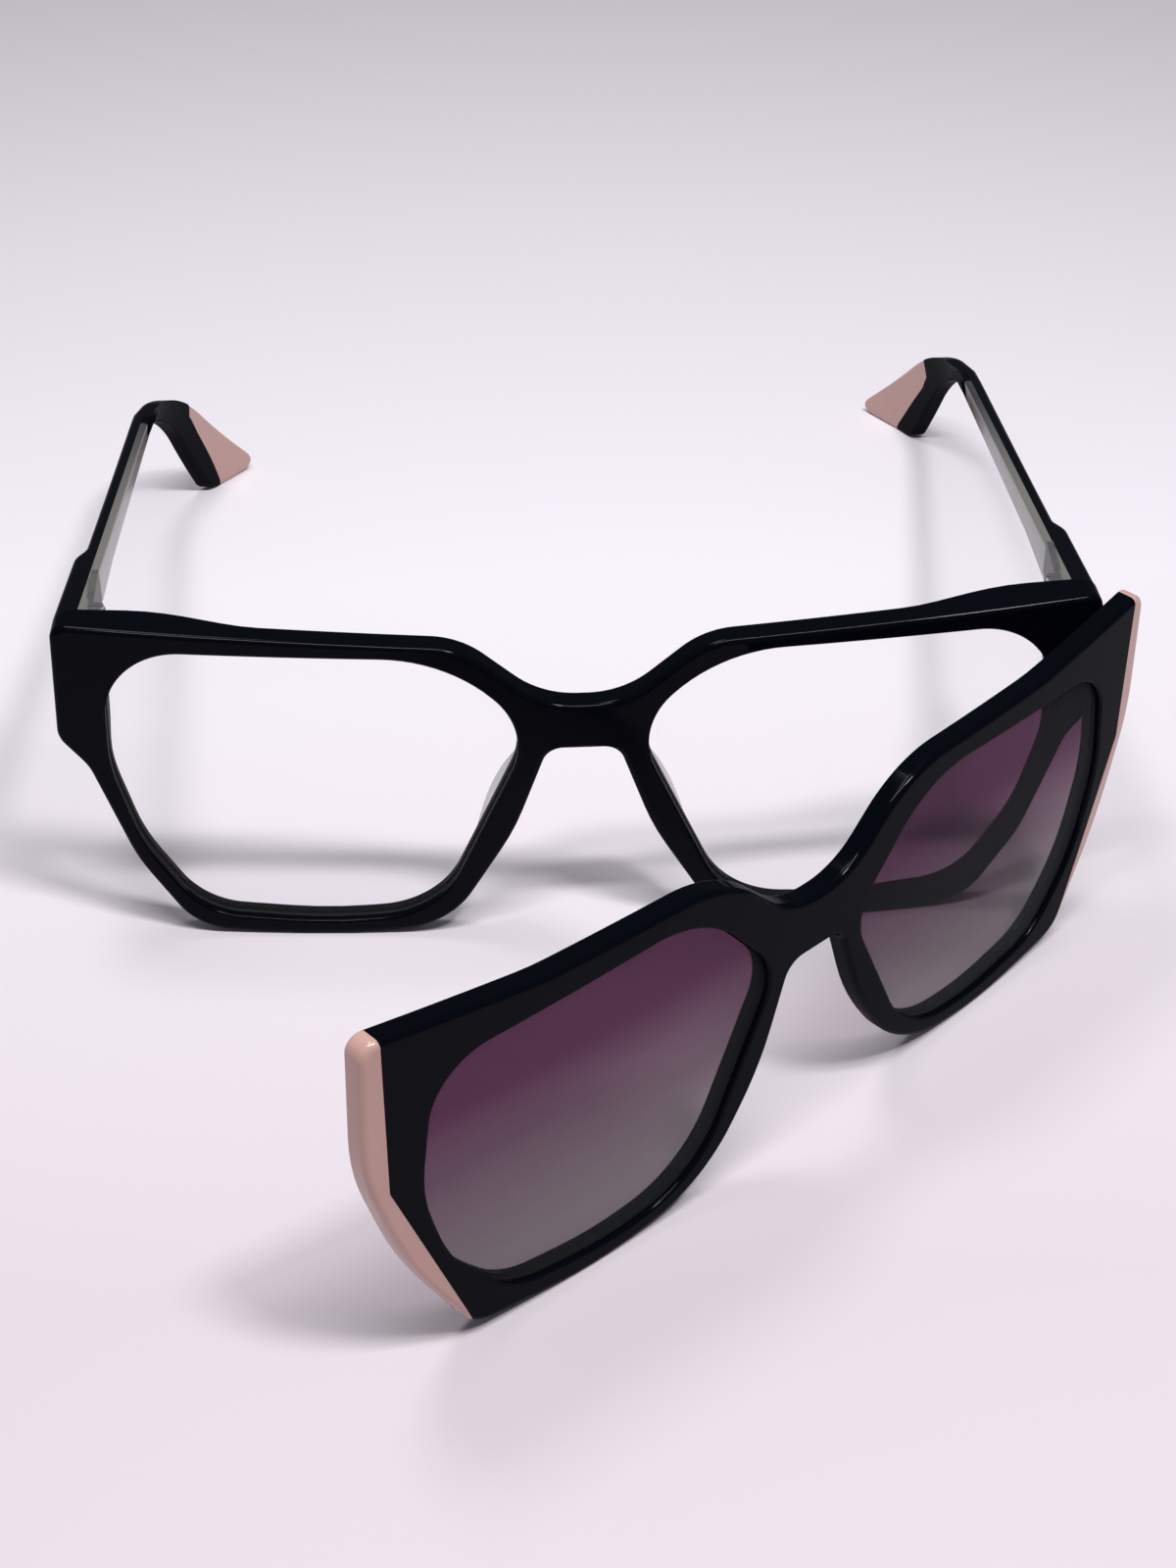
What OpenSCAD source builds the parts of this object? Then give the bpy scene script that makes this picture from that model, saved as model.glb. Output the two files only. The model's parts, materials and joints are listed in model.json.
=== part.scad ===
// Acetate spectacles with a separate tinted front that clips on.
// The frame stands on its rims and temple tips; the clip stands in front of it,
// turned away and leaning on the right end piece.
// X runs to the viewer's right, Y from the viewer to the tips, Z up from the table.

/* [Front of the frame] */
// Radius of the curve that both fronts follow, seen from above
wrap_r = 600; // [400:10:1500]
// Thickness of the rims
rim_t = 3.8; // [3.2:0.1:4.6]
// Where the flat back of each end piece lies, behind the middle of the front
end_back = 9.3; // [9:0.1:10]
// Rounding of the front edges
front_edge = 0.9; // [0.4:0.1:1.2]
// Rounding of the back edges
back_edge = 0.5; // [0.2:0.1:0.8]
// Width of the bridge piece under its shoulders, half of it
bridge_half = 5.6; // [5:0.1:6.4]
// Height of the bridge's top above the table
bridge_top = 39.2; // [37:0.1:41]
// Height of the bridge's underside above the table
bridge_under = 32; // [30:0.1:33]
// Height of the brow line where it leaves the shoulder
brow_in = 48.7; // [47:0.1:50]
// Height of the brow line at its outer corner
brow_out = 51.9; // [50:0.1:54]
// Half the width of the front at its top corners
corner_half = 71.7; // [70:0.1:73]

/* [Lenses] */
// Thickness of a demo lens
lens_t = 1.2; // [1:0.1:1.6]
// Depth of the groove that a lens sits in
groove_d = 0.6; // [0.4:0.05:0.8]
// Clearance between a lens and its groove
lens_gap = 0.06; // [0.03:0.01:0.1]

/* [Temples] */
// How far a temple's top edge lies below the brow's outer corner
brow_over = 1.6; // [0.9:0.1:2.9]
// Height of a temple where it meets the end piece
temple_h = 6.9; // [6.6:0.1:7.4]
// How far a temple's outer face starts outside the front's top corner
temple_out = 0.2; // [-0.7:0.1:0.7]
// Length from the joint to the bend over the ear, left temple
bend_left = 123.3; // [120:0.1:125]
// The same on the right temple, which is bent a little later
bend_right = 137.4; // [133:0.1:139]
// How far past its bend the far corner of the left tip lies
tip_run_left = 15.1; // [14:0.1:18]
// The same on the right, whose tip is bent down less
tip_run_right = 17.9; // [16:0.1:20]
// Length of the left tip's end, along the table
tip_foot_left = 10.5; // [10:0.1:12]
// Length of the right tip's end, along the table
tip_foot_right = 14; // [12:0.1:15]
// How far the left tip curves inwards at its far corner
tip_curl_left = 16.8; // [14:0.1:18]
// How far the right tip curves inwards at its far corner
tip_curl_right = 16; // [13:0.1:17]
// Thickness of the dark outer layer at the joint
outer_t = 3.1; // [2.8:0.1:3.6]
// How far the outer face steps in behind the thick part
step_in = 1.3; // [0.8:0.1:1.6]
// Thickness of the clear lining
lining_t = 1.2; // [0.9:0.1:1.5]
// How far the right temple opens past straight, in degrees
splay_right = 4.5; // [3:0.1:5]
// How far the left temple opens past straight, in degrees
splay_left = 1.4; // [0:0.1:3]
// Clearance between a temple's end and its end piece
joint_gap = 0.2; // [0.15:0.05:0.3]

/* [Hinges] */
// Hinge axis, in from the front's top corner
hinge_in = 5.6; // [5.4:0.1:5.9]
// Hinge axis, behind the flat back of the end piece
hinge_back = 1.9; // [1.7:0.1:2.2]
// Radius of a knuckle
knuckle_r = 1.25; // [1.1:0.05:1.35]
// Height of one knuckle
knuckle_h = 1.15; // [1:0.05:1.2]
// Gap between two knuckles
knuckle_gap = 0.05; // [0.03:0.01:0.1]
// Radius of the screw's shank
screw_r = 0.65; // [0.5:0.05:0.75]
// Radial clearance of the screw in the knuckles
screw_gap = 0.03; // [0.02:0.01:0.06]

/* [Clip] */
// Thickness of the clip's front
clip_t = 3.2; // [2.8:0.1:3.6]
// Gap between the clip and the frame's front when it is worn
seat_gap = 0.4; // [0.3:0.05:0.6]
// How far the clip is turned from its worn place, in degrees
clip_turn = 39.9; // [36:0.1:42]
// Upright line that the clip turns about, in from the front's top corner
pivot_in = 3.6; // [2.7:0.1:4.7]
// The same line, behind the middle of the front
pivot_y = 13.6; // [12:0.1:15]
// Where the coloured corner meets the black front, in from the frame's top corner
seam_in = 5.5; // [5.3:0.1:5.9]

/* [Magnets] */
// Radius of the magnets in the end pieces and in the clip
magnet_r = 1.3; // [1:0.1:1.4]
// Length of an end piece's magnet, which reaches close to its front
magnet_long = 4; // [3:0.1:4.6]
// Thickness of a clip's magnet
magnet_t = 1.5; // [1:0.1:1.8]

/* [Hidden] */

// Longest straight step along an outline, and the turn of one step of an arc
reach = 8;
arc_turn = 10;
// Play left between two pieces that are glued together
glue = 0.03;
// Places that follow the top corner of the frame's front
temple_top = brow_out - brow_over;
temple_low = temple_top - temple_h;
temple_x = corner_half + temple_out;
hinge_x = corner_half - hinge_in;
pivot_x = corner_half - pivot_in;
seam_x = corner_half - seam_in;

// A corner on the outer side of a front, which moves with the top corner of the frame
function outer(in, up, r) = [corner_half - in, up, r];
// Outer corners of the frame's front, right half from the bridge's underside to its top:
// place across, height and rounding of each
front_half = [[4.9, bridge_under, 3], [9.8, 18, 40], [19.4, 1.5, 13], [37, -0.49, 110],
    outer(15.4, 0.9, 9), outer(8, 13, 25), outer(2.8, 28.9, 8), outer(-1, 33.6, 3.5),
    outer(0, brow_out, 2.3), [16.6, brow_in, 12], [bridge_half, bridge_top, 13]];
// Corners of the frame's right lens opening
front_open = [[21, 3.6, 14], [37, 2.2, 70], outer(16.7, 3.6, 11), outer(9.1, 15.9, 25),
    outer(5.7, 29, 25), outer(6.7, 48.1, 11), [18.8, 46.9, 22], [7, 35, 11]];
// The same for the clip
clip_half = [[4.6, 30.5, 3], [9.2, 16.2, 40], [19, 1.9, 20], [37, -0.35, 50],
    outer(16.1, 1.6, 5), outer(7.5, 16.6, 60), outer(2.5, 33, 30),
    outer(3.1, 52.6, 2.2), [44, 49.8, 40], [16.4, 49.7, 18], [5.2, 39, 12]];
clip_open = [[20, 4.3, 16], [35, 2.5, 45], outer(22.2, 4.2, 12), outer(13.5, 13.6, 25),
    outer(9.9, 27, 22), outer(12.2, 44.6, 9), [20.3, 46.4, 16], [7.1, 31.2, 8]];
// The clip curves with the frame that it covers
clip_r = wrap_r + seat_gap + clip_t;
// Seam of a coloured corner: upright, then slanting to the lower corner
seam_turn_z = 30;
seam_foot = [corner_half - 17.4, -1];
// How far a shape that cuts or divides reaches past the fronts
past = 10;
// Place of the magnets, across and up
magnet_at = [corner_half - 10.33, 48.52];

function dir(v) = v / norm(v);
function left_of(v) = [-v[1], v[0]];
function cross2(a, b) = a[0] * b[1] - a[1] * b[0];
function turned(v, w) = [v[0] * cos(w) - v[1] * sin(w), v[0] * sin(w) + v[1] * cos(w)];
function mix(a, b, f) = a + (b - a) * f;
function smooth(f) = let (g = min(1, max(0, f))) g * g * (3 - 2 * g);

// Both halves of a list of corners, the second one mirrored
function both_halves(c) = concat(c, [for (i = [len(c) - 1:-1:0]) [-c[i][0], c[i][1], c[i][2]]]);

// One rounded corner of an outline that is drawn in by d
function corner_arc(c, i, d) = let (
    n = len(c), p = c[(i + n - 1) % n], q = c[i], s = c[(i + 1) % n],
    a = dir([q[0] - p[0], q[1] - p[1]]), b = dir([s[0] - q[0], s[1] - q[1]]),
    w = atan2(cross2(a, b), a * b), r = max(0.05, q[2] - sign(w) * d),
    v = [q[0], q[1]] + d * (left_of(a) + left_of(b)) / (1 + a * b),
    from = v - r * tan(abs(w) / 2) * a, mid = from + sign(w) * r * left_of(a),
    steps = max(1, ceil(abs(w) / arc_turn)))
    [for (k = [0:steps]) mid + turned(from - mid, w * k / steps)];

// The whole outline, with its long sides cut into steps that can follow the wrap
function outline(c, d = 0) = let (n = len(c)) [for (i = [0:n - 1])
    let (here = corner_arc(c, i, d), next = corner_arc(c, (i + 1) % n, d)[0],
        last = here[len(here) - 1],
        q = c[i], s = c[(i + 1) % n], cuts = ceil(norm([s[0] - q[0], s[1] - q[1]]) / reach))
    each concat(here, [for (k = [1:1:cuts - 1]) mix(last, next, k / cuts)])];

// Depth at x of a surface that lies d behind a front of radius r
function behind(r, x, d) = r - sqrt(pow(r - d, 2) - x * x);

function least(v, i = 0, best = 0) = i == len(v) ? best : least(v, i + 1, v[i] < v[best] ? i : best);

// Triangles across a closed ring that is wider than it is folded, joined at like x
function across(ring, base, out, lo, hi, k = 0, l = 0) = let (
    n = len(ring), nb = (hi - lo + n) % n, nt = n - nb)
    (k == nb && l == nt) ? [] : let (
        bk = (lo + k) % n, tl = (lo - l + n) % n,
        bn = (lo + k + 1) % n, tn = (lo - l - 1 + 2 * n) % n,
        low = l == nt || (k < nb && ring[bn][0] <= ring[tn][0]),
        tri = low ? [bk, bn, tl] : [bk, tn, tl],
        real = tri[0] != tri[1] && tri[1] != tri[2] && tri[0] != tri[2],
        face = out ? [tri[2], tri[1], tri[0]] : tri)
    concat(real ? [[for (i = face) i + base]] : [],
        low ? across(ring, base, out, lo, hi, k + 1, l) : across(ring, base, out, lo, hi, k, l + 1));

// Sides between rings of n points each, facing out, or in round a hole
function sides(n, rings, first = 0, inward = false) = [for (j = [0:rings - 2], i = [0:n - 1])
    let (a = first + j * n + i, b = first + j * n + (i + 1) % n, c = b + n, d = a + n)
    each inward ? [[a, c, b], [a, d, c]] : [[a, b, c], [a, c, d]]];

function flip(f) = [for (t = f) [t[2], t[1], t[0]]];

// Point of a lens that every part of its rim can be seen from, and the bearing of
// a point from there, counted from the bridge's underside
pole = [36.5, 33];
function bearing(p) = let (
    a = atan2(p[1] - pole[1], p[0] - pole[0]) - atan2(bridge_under - pole[1], -pole[0]))
    a <= 0 ? a + 360 : a;

// Order in which a strip between two loops steps on: along the outer or the inner one
function steps_on(bo, bi, k = 0, l = 0) = let (h = len(bo) - 1, m = len(bi) - 1)
    (k == h && l == m) ? [] : (l == m || (k < h && bo[k + 1] <= bi[l + 1]))
        ? concat([[true, k, l]], steps_on(bo, bi, k + 1, l))
        : concat([[false, k, l]], steps_on(bo, bi, k, l + 1));

// Back of a front: follows the wrap, and eases to the flat back of the end pieces
function back_of(x, z, r, t, flat_back) = let (y = behind(r, x, t))
    flat_back == 0 ? y : mix(y, flat_back, smooth((abs(x) - 44) / 18) * smooth((z - 29) / 6));

// Right half of a front's outline, from the bridge's underside to its top
function half_loop(c, d) = concat([[0, c[0][1] + d]],
    [for (p = outline(both_halves(c), d)) if (p[0] > 0.01) p], [[0, c[len(c) - 1][1] - d]]);

// A front with its two grooved lens openings, as one closed skin. Its front follows
// radius r; every level of its edges is drawn in by one value at one depth
module front(c, open, r, t, lens_d, flat_back = 0) {
    g = [lens_d - lens_gap, lens_d + lens_t + lens_gap];
    outer = [[front_edge, 0], [front_edge * 0.3, front_edge * 0.3], [0, front_edge],
        [0, t - back_edge], [back_edge, t]];
    inner = [[-0.5, 0], [0, 0.5], [0, g[0]], [-groove_d, g[0] + 0.01],
        [-groove_d, g[1] - 0.01], [0, g[1]], [0, t - 0.3], [-0.3, t]];
    function at(p, d) = [p[0], d < t * 0.7 ? behind(r, p[0], d)
        : back_of(p[0], p[1], r, t, flat_back) + d - t, p[1]];
    halves = [for (l = outer) half_loop(c, l[0])];
    h = len(halves[0]);
    rims = [for (j = [0:4]) concat([for (p = halves[j]) at(p, outer[j][1])],
        [for (i = [h - 2:-1:1]) at([-halves[j][i][0], halves[j][i][1]], outer[j][1])])];
    no = 2 * h - 2;
    holes = [for (l = inner) [for (p = outline(open, l[0])) at(p, l[1])]];
    other = [for (q = holes) [for (p = q) [-p[0], p[1], p[2]]]];
    ni = len(holes[0]);
    right = 5 * no;
    left = right + 8 * ni;
    b = [for (p = outline(open)) bearing(p)];
    s = least(b);
    order = steps_on(concat([0], [for (i = [1:h - 1]) bearing(half_loop(c, 0)[i])], [360]),
        concat([for (l = [0:ni - 1]) b[(s + l) % ni]], [b[s] + 360]));
    // One face of the right side: the strip between the rim at ro and the hole at ri
    function strip(ro, ri) = [for (q = order)
        let (o = ro[q[1] % h], p = ri[(s + q[2]) % ni])
        q[0] ? [ro[(q[1] + 1) % h], o, p] : [p, ri[(s + q[2] + 1) % ni], o]];
    function rim_ids(j, side) = [for (i = [0:h - 1]) j * no + (side > 0 ? i : (no - i) % no)];
    function hole_ids(j, side) = [for (i = [0:ni - 1]) (side > 0 ? right : left) + j * ni + i];
    polyhedron(concat([for (q = rims) each q], [for (q = holes) each q], [for (q = other) each q]),
        concat(sides(no, 5), sides(ni, 8, right, true), sides(ni, 8, left),
            strip(rim_ids(0, 1), hole_ids(0, 1)), flip(strip(rim_ids(0, -1), hole_ids(0, -1))),
            flip(strip(rim_ids(4, 1), hole_ids(7, 1))), strip(rim_ids(4, -1), hole_ids(7, -1))),
        convexity = 12);
}

// A lens: its opening's outline, grown into the groove, between two faces that follow
// the front
module lens(c, r, lens_d) {
    rings = [for (d = [0, lens_t]) [for (p = outline(c, lens_gap - groove_d))
        [p[0], behind(r, p[0], lens_d + d), p[1]]]];
    n = len(rings[0]);
    xs = [for (p = rings[0]) p[0]];
    lo = least(xs);
    hi = least([for (x = xs) -x]);
    polyhedron([for (q = rings) each q], concat(sides(n, 2),
        across(rings[0], 0, true, lo, hi), across(rings[0], n, false, lo, hi)),
        convexity = 4);
}

// The whole stands with the middle of its footprint at the origin
module stand() {
    translate([-middle[0], -middle[1], 0]) children();
}

module on_side(side) {
    if (side < 0) mirror([1, 0, 0]) children();
    else children();
}

// A magnet let into a back that lies at y_back, and the pocket for it
module magnet(y_back, long, grow = 0) {
    translate([magnet_at[0], y_back - long - grow, magnet_at[1]]) rotate([-90, 0, 0])
        cylinder(h = long + (grow > 0 ? 2 : 0), r = magnet_r + grow, $fn = 32);
}
front_magnet_y = end_back - 0.1;
clip_magnet_y = behind(clip_r, magnet_at[0], clip_t) - 0.25;

front_lens_d = 1.3;
clip_lens_d = 0.9;

module front_frame() {
    color("#15161c") stand() difference() {
        front(front_half, front_open, wrap_r, rim_t, front_lens_d, end_back);
        for (side = [-1, 1]) on_side(side) {
            magnet(front_magnet_y, magnet_long, glue);
            hinge_leaf(glue);
        }
    }
}

module demo_lens(side) {
    color("#dfe6ea", 0.3) stand() on_side(side) lens(front_open, wrap_r, front_lens_d);
}

// A built-up nose pad: sections along the nose side of the rim, each standing off its back
pad_from = [7.6, 30.5];
pad_to = [15.6, 10.5];
pad_h = 4.4;
pad_w = 2.7;
pad_lean = 0.8;
module nose_pad(side) {
    along = dir(pad_to - pad_from);
    out = [-along[1], along[0]];
    cuts = 10;
    rings = [for (k = [0:cuts]) let (f = k / cuts, bulge = sin(180 * mix(0.06, 0.94, f)),
        c = mix(pad_from, pad_to, f), h = pad_h * bulge, w = pad_w * mix(0.45, 1, bulge))
        [for (j = [0:7]) let (g = j / 7, v = -cos(180 * g), up = pow(sin(180 * g), 0.8) * h,
            q = c + out * (w / 2 * v + pad_lean * up / pad_h))
            [q[0], behind(wrap_r, q[0], rim_t) + glue + up, q[1]]]];
    color("#d9dcdd", 0.6) stand() on_side(side) loft([for (k = [cuts:-1:0]) rings[k]]);
}

// The leaf of the front's hinge half, sunk into the end piece, with its two rivets
leaf_in = 0.6;
leaf_x = [hinge_x - 3.3, hinge_x + 1.1];
leaf_z = [temple_low + 1.5, temple_low + 6.3];
rivet_r = 0.6;
rivet_l = 2.4;
module hinge_leaf(grow = 0) {
    translate([leaf_x[0] - grow, end_back - leaf_in - grow, leaf_z[0] - grow])
        cube([leaf_x[1] - leaf_x[0] + 2 * grow, leaf_in + (grow > 0 ? 2 : 0.3),
            leaf_z[1] - leaf_z[0] + 2 * grow]);
    for (z = [mix(leaf_z[0], leaf_z[1], 0.22), mix(leaf_z[0], leaf_z[1], 0.78)])
        translate([mix(leaf_x[0], leaf_x[1], 0.3), end_back - leaf_in - rivet_l - grow, z])
            rotate([-90, 0, 0]) cylinder(h = rivet_l + 0.2 + grow, r = rivet_r + grow, $fn = 24);
}

hinge_y = end_back + hinge_back;
stack = 5 * knuckle_h + 4 * knuckle_gap;
stack_from = (leaf_z[0] + leaf_z[1]) / 2 - stack / 2;
function knuckle_z(k) = stack_from + k * (knuckle_h + knuckle_gap);

// One knuckle with the neck that ties it to its leaf, towards [x, y] from the axis
module knuckle(k, neck_from, neck_size) {
    translate([hinge_x, hinge_y, knuckle_z(k)]) difference() {
        union() {
            cylinder(h = knuckle_h, r = knuckle_r, $fn = 40);
            translate([neck_from[0], neck_from[1], 0]) cube([neck_size[0], neck_size[1], knuckle_h]);
        }
        translate([0, 0, -1]) cylinder(h = knuckle_h + 2, r = screw_r + screw_gap, $fn = 32);
    }
}

module front_hinge(side) {
    color("#b9bcc2") stand() on_side(side) {
        hinge_leaf();
        for (k = [0, 2, 4]) knuckle(k, [-knuckle_r, -hinge_back], [knuckle_r, hinge_back]);
    }
}

// The temple's half: a long leaf let into the lining, with two knuckles
temple_leaf_t = 0.7;
temple_leaf_l = 12;
temple_leaf_from = 1.5;
temple_inner_x = temple_x - outer_t - lining_t;
temple_leaf_out = 0.6;
module temple_leaf(side, grow = 0) {
    open = temple_leaf_out + (grow > 0 ? 2 : 0);
    y = hinge_y + temple_leaf_from;
    translate([temple_inner_x + (y - joint_y) * tan(splay(side)), y, leaf_z[0] - 1])
        rotate([0, 0, -splay(side)]) translate([-open, -grow, -grow])
            cube([open + temple_leaf_t - 0.3 + grow, temple_leaf_l + 2 * grow,
                leaf_z[1] - leaf_z[0] + 2 * grow]);
}

module temple_hinge(side) {
    color("#b9bcc2") stand() on_side(side) {
        temple_leaf(side);
        for (k = [1, 3]) knuckle(k, [0, 0],
            [temple_inner_x - hinge_x - 0.05, temple_leaf_from + 0.6]);
    }
}

screw_head_r = 1.05;
screw_head_h = 0.5;
module hinge_screw(side) {
    color("#c9ccd1") stand() on_side(side) translate([hinge_x, hinge_y, 0]) {
        difference() {
            union() {
                translate([0, 0, stack_from]) cylinder(h = stack + 0.1, r = screw_r, $fn = 32);
                translate([0, 0, stack_from + stack + 0.05])
                    cylinder(h = screw_head_h, r = screw_head_r, $fn = 32);
            }
            translate([-screw_head_r - 1, -0.15, stack_from + stack + screw_head_h - 0.2])
                cube([2 * screw_head_r + 2, 0.3, 1]);
        }
    }
}

// Temple: its upper and lower edges as seen from the side, each a line that drops,
// bends over the ear and runs to the tip. Place along and height of each corner
joint_y = end_back + joint_gap;
taper_at = 36;
top_drop = 0.218;
tip_round = 3;
bend_lag = 6.1;
curl_before = 18.4;
function splay(side) = side < 0 ? splay_left : splay_right;
function bend_at(side) = side < 0 ? bend_left : bend_right;
function tip_far(side) = side < 0 ? bend_left + tip_run_left : bend_right + tip_run_right;
function tip_near(side) = tip_far(side) - (side < 0 ? tip_foot_left : tip_foot_right);
function tip_curl(side) = side < 0 ? tip_curl_left : tip_curl_right;
function top_at(a) = temple_top - top_drop * a;
function upper_edge(side) = [[0, temple_top], [taper_at, top_at(taper_at)],
    [bend_at(side), top_at(bend_at(side))], [tip_far(side), 0.3]];
function lower_edge(side) = [[0, temple_low], [taper_at, top_at(taper_at) - 4.25],
    [bend_at(side) - bend_lag, top_at(bend_at(side) - bend_lag) - 2.4], [tip_near(side), 0]];
bend_r_top = 22.4;
bend_r_low = 19;
// Stations along the three runs of an edge
thick_stops = [0, 1.5, 3.2, 12, 23, 25, 26.2, 27.4, 28.6, 29.8, 31, 33];
mid_stops = [0, 0.3, 0.6, 0.9, 0.905];
tip_stops = [0.125, 0.25, 0.255, 0.4, 0.55, 0.7, 0.83, 0.91, 0.93, 0.955, 0.975, 0.99, 1];
bend_steps = 6;
tip_start = len(thick_stops) + len(mid_stops) + bend_steps + 1;
lining_last = len(thick_stops) + len(mid_stops) - 2;
stops = tip_start + len(tip_stops);

function edge_points(e, bend_r) = let (
    a = dir(e[2] - e[1]), b = dir(e[3] - e[2]), w = atan2(cross2(a, b), a * b),
    t = bend_r * tan(abs(w) / 2), s = e[2] - a * t, m = s + sign(w) * bend_r * left_of(a),
    f = e[2] + b * t)
    concat([for (q = thick_stops) mix(e[0], e[1], q / taper_at)],
        [for (q = mid_stops) mix(e[1], s, q)],
        [for (k = [0:bend_steps]) m + turned(s - m, w * k / bend_steps)],
        [for (q = tip_stops) mix(f, e[3], q)]);
upper_left = edge_points(upper_edge(-1), bend_r_top);
upper_right = edge_points(upper_edge(1), bend_r_top);
lower_left = edge_points(lower_edge(-1), bend_r_low);
lower_right = edge_points(lower_edge(1), bend_r_low);
function upper(k, side) = side < 0 ? upper_left[k] : upper_right[k];
function lower(k, side) = side < 0 ? lower_left[k] : lower_right[k];
function tip_length(side) = norm(upper(stops - 1, side) - upper(tip_start - 1, side));

// How far the outer face has stepped in, and how far the tip has curved in, at length a
step_from = 25;
step_to = 31;
function stepped(a) = step_in * smooth((a - step_from) / (step_to - step_from));
function curled(a, side) = let (from = bend_at(side) - curl_before)
    a < from ? 0 : tip_curl(side) * pow((a - from) / (tip_far(side) - from), 2);
// How far a section is drawn in close to the rounded end
function end_inset(k, side) = k < tip_start ? 0 : let (
    d = tip_length(side) * (1 - tip_stops[k - tip_start]))
    d > tip_round ? 0 : tip_round - sqrt(tip_round * tip_round - pow(tip_round - d, 2));

// A point of a temple: station k, height h up the section from its lower edge, depth in
// from the outer face's own line
function temple_point(k, h, depth, side) = let (
    e = dir(upper(k, side) - lower(k, side)), p = lower(k, side) + e * h)
    [temple_x + p[0] * tan(splay(side)) - depth - curled(p[0], side), joint_y + p[0], p[1]];
function section_h(k, side) = norm(upper(k, side) - lower(k, side));
function quarter(r, from, steps = 3) = [for (i = [0:steps])
    [r * cos(from + 90 * i / steps), r * sin(from + 90 * i / steps)]];

// A loft through closed rings. Its ends are closed by the flat pieces in ends, each a
// list of places round a ring
module loft(rings, ends = []) {
    n = len(rings[0]);
    far = n * (len(rings) - 1);
    caps = len(ends) > 0 ? ends : [[for (i = [0:n - 1]) i]];
    polyhedron([for (q = rings) each q], concat(sides(n, len(rings)),
        [for (c = caps) [for (i = [len(c) - 1:-1:0]) c[i]]], [for (c = caps) [for (i = c) i + far]]),
        convexity = 8);
}

// Groove for the core wire in the inner side of the dark layer
wire_w = 1.2;
wire_t = 0.9;
wire_first = 2;
wire_last = tip_start + 4;
function groove_depth(k) = k < wire_first || k > wire_last ? 0.05 : wire_t + glue;

function dark_ring(k, side) = let (
    h = section_h(k, side), i = end_inset(k, side), o = stepped(lower(k, side)[0]) + i * 0.15,
    s = outer_t - i * 0.12,
    r = min(0.8, (s - o) * 0.45), g = groove_depth(k), m = h / 2, w = wire_w / 2 + glue,
    flat = concat([[s, i]], [for (q = quarter(r, 270)) [o + r - (q[0]), i + r + q[1]]],
        [for (q = quarter(r, 0)) [o + r - q[0], h - i - r + q[1]]],
        [[s, h - i], [s, m + w], [s - g, m + w], [s - g, m - w], [s, m - w]]))
    [for (p = flat) temple_point(k, p[1], p[0], side)];

// Where the outermost edges of every piece lie, for the middle of the footprint
function clip_turned(p) = let (
    v = turned([p[0] - pivot_x, p[1] - clip_t - seat_gap - pivot_y], clip_turn))
    [pivot_x + v[0], pivot_y + v[1], p[2]];
reaches = concat(
    [for (l = [[front_edge, 0], [0, front_edge], [0, clip_t - back_edge], [back_edge, clip_t]],
        p = outline(both_halves(clip_half), l[0]))
        clip_turned([p[0], behind(clip_r, p[0], l[1]), p[1]])],
    [for (p = outline(both_halves(front_half))) [p[0], behind(wrap_r, p[0], front_edge), p[1]]],
    [for (k = [0:stops - 1], p = dark_ring(k, 1)) p],
    [for (k = [0:stops - 1], p = dark_ring(k, -1)) [-p[0], p[1], p[2]]]);
low = [for (i = [0:2]) min([for (p = reaches) p[i]])];
high = [for (i = [0:2]) max([for (p = reaches) p[i]])];
middle = [(low[0] + high[0]) / 2, (low[1] + high[1]) / 2];

module dark_layer(side) {
    on_side(side) loft([for (k = [0:stops - 1]) dark_ring(k, side)],
        [[0, 1, 2, 3, 4, 12, 13], [4, 5, 11, 12], [5, 6, 7, 8, 9, 10, 11]]);
}

module temple(side) {
    color("#14151b") stand() dark_layer(side);
}

module core_wire(side) {
    color("#b0b3b8") stand() on_side(side) loft([for (k = [wire_first + 1:wire_last - 1])
        let (m = section_h(k, side) / 2, w = wire_w / 2, s = outer_t)
        [for (p = [[s, m - w], [s - wire_t, m - w], [s - wire_t, m + w], [s, m + w]])
            temple_point(k, p[1], p[0], side)]]);
}

// A strip of the inner layer between two shares of the height, its free edges rounded
function inner_ring(k, from, to, round_low, round_high, side) = let (
    h = section_h(k, side), i = end_inset(k, side), s = outer_t + glue, n = s + lining_t - i * 0.18,
    r = min(0.5, (n - s) * 0.45), a = max(h * from, i), b = min(h * to, h - i),
    flat = concat(
        round_low ? [for (q = quarter(r, 270)) [n - r + q[0], a + r + q[1]]] : [[n, a]],
        round_high ? [for (q = quarter(r, 0)) [n - r + q[0], b - r + q[1]]] : [[n, b]],
        [[s, b], [s, a]]))
    [for (p = [for (j = [len(flat) - 1:-1:0]) flat[j]]) temple_point(k, p[1], p[0], side)];

module temple_lining(side) {
    color("#a9a9a4", 0.8) stand() on_side(side) difference() {
        loft([for (k = [0:lining_last]) inner_ring(k, 0, 1, true, true, side)]);
        temple_leaf(side, glue);
    }
}

// Share of the height at which the coloured inlay starts, from behind the bend to the end
inlay_first = tip_start + 2;
function inlay_share(k) = k < inlay_first ? 1.004 : let (
    from = tip_stops[inlay_first - tip_start])
    mix(0.93, 0.3, (tip_stops[k - tip_start] - from) / (1 - from));
module tip_facing(side) {
    color("#17171d") stand() on_side(side) loft([for (k = [lining_last + 1:stops - 1])
        inner_ring(k, 0, inlay_share(k) - 0.004, true, false, side)]);
}
module tip_inlay(side) {
    color("#cfa9a0") stand() on_side(side) loft([for (k = [inlay_first:stops - 1])
        inner_ring(k, inlay_share(k) + 0.004, 1, false, true, side)]);
}

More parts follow.
